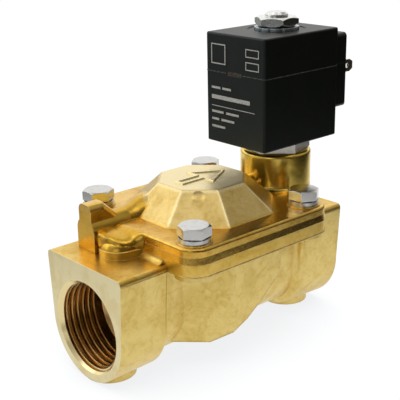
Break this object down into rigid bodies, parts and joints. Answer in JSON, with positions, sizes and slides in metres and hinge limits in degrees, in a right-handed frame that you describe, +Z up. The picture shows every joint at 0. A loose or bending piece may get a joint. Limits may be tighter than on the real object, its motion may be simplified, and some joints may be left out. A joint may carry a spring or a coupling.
{
  "type": "solenoid valve",
  "caption": "Brass pilot-operated diaphragm solenoid valve with threaded ports, square bolted bonnet and a black plug-in coil on an offset armature tube.",
  "frame": {"origin": "centre of the machined end face of the inlet port, on the port axis", "axes": "+X along the flow from inlet to outlet, +Z up towards the coil, +Y completes the right-handed frame"},
  "size_m": [0.1251, 0.0672, 0.1159],
  "materials": {
    "cast_brass": "sand-blasted forging with a fine satin grain",
    "machined_brass": "turned, satin",
    "stainless_screw": "bright cold-formed stainless steel",
    "spring_steel": "rolled and tumbled",
    "nickel_plate": "dull nickel plate, lightly scratched",
    "magnetic_steel": "turned magnetic stainless steel",
    "zinc_plate": "blue passivated zinc",
    "black_moulding": "satin moulded encapsulation",
    "bobbin_plastic": "natural moulded plastic",
    "magnet_wire": "enamelled copper wire, wound in layers",
    "seal_rubber": "nitrile rubber, matt",
    "copper": "bare copper",
    "tinned_blade": "tinned brass strip"
  },
  "bodies": {
    "valve": {"valve_body": "cast_brass", "bonnet": "cast_brass", "bonnet_bolts": "stainless_screw", "bolt_spring_washers": "spring_steel", "main_diaphragm": "seal_rubber", "closing_spring": "spring_steel", "pilot_strainer": "machined_brass", "inlet_pilot_o_ring": "seal_rubber", "outlet_pilot_o_ring": "seal_rubber", "pilot_nozzle": "machined_brass", "tube_base": "nickel_plate", "tube_base_o_ring": "seal_rubber", "guide_tube": "magnetic_steel", "fixed_core": "magnetic_steel", "shading_ring": "copper", "plunger_spring": "spring_steel", "coil_washer": "zinc_plate", "coil_nut": "nickel_plate"},
    "armature": {"plunger": "magnetic_steel", "pilot_seal": "seal_rubber"},
    "diaphragm_core": {"diaphragm_support_plate": "machined_brass", "diaphragm_guide_disc": "machined_brass", "diaphragm_screw": "stainless_screw", "diaphragm_nut": "stainless_screw"},
    "coil": {"coil_housing": "black_moulding", "coil_yoke": "magnetic_steel", "coil_bobbin": "bobbin_plastic", "coil_winding": "magnet_wire", "terminal_blades": "tinned_blade", "earth_blade": "tinned_blade", "plug_insert": "machined_brass"}
  },
  "joints": [
    {"name": "plunger_slide", "type": "slide", "parent": "valve", "child": "armature", "axis": [0, 0, 1], "range_m": [0, 0.0018], "deforming": ["plunger_spring"]},
    {"name": "diaphragm_lift", "type": "slide", "parent": "valve", "child": "diaphragm_core", "axis": [0, 0, 1], "range_m": [0, 0.006], "deforming": ["closing_spring", "main_diaphragm"]},
    {"name": "coil_turn", "type": "hinge", "parent": "valve", "child": "coil", "pos_m": [0.09186, 0, 0.04916], "axis": [0, 0, 1], "continuous": true}
  ]
}
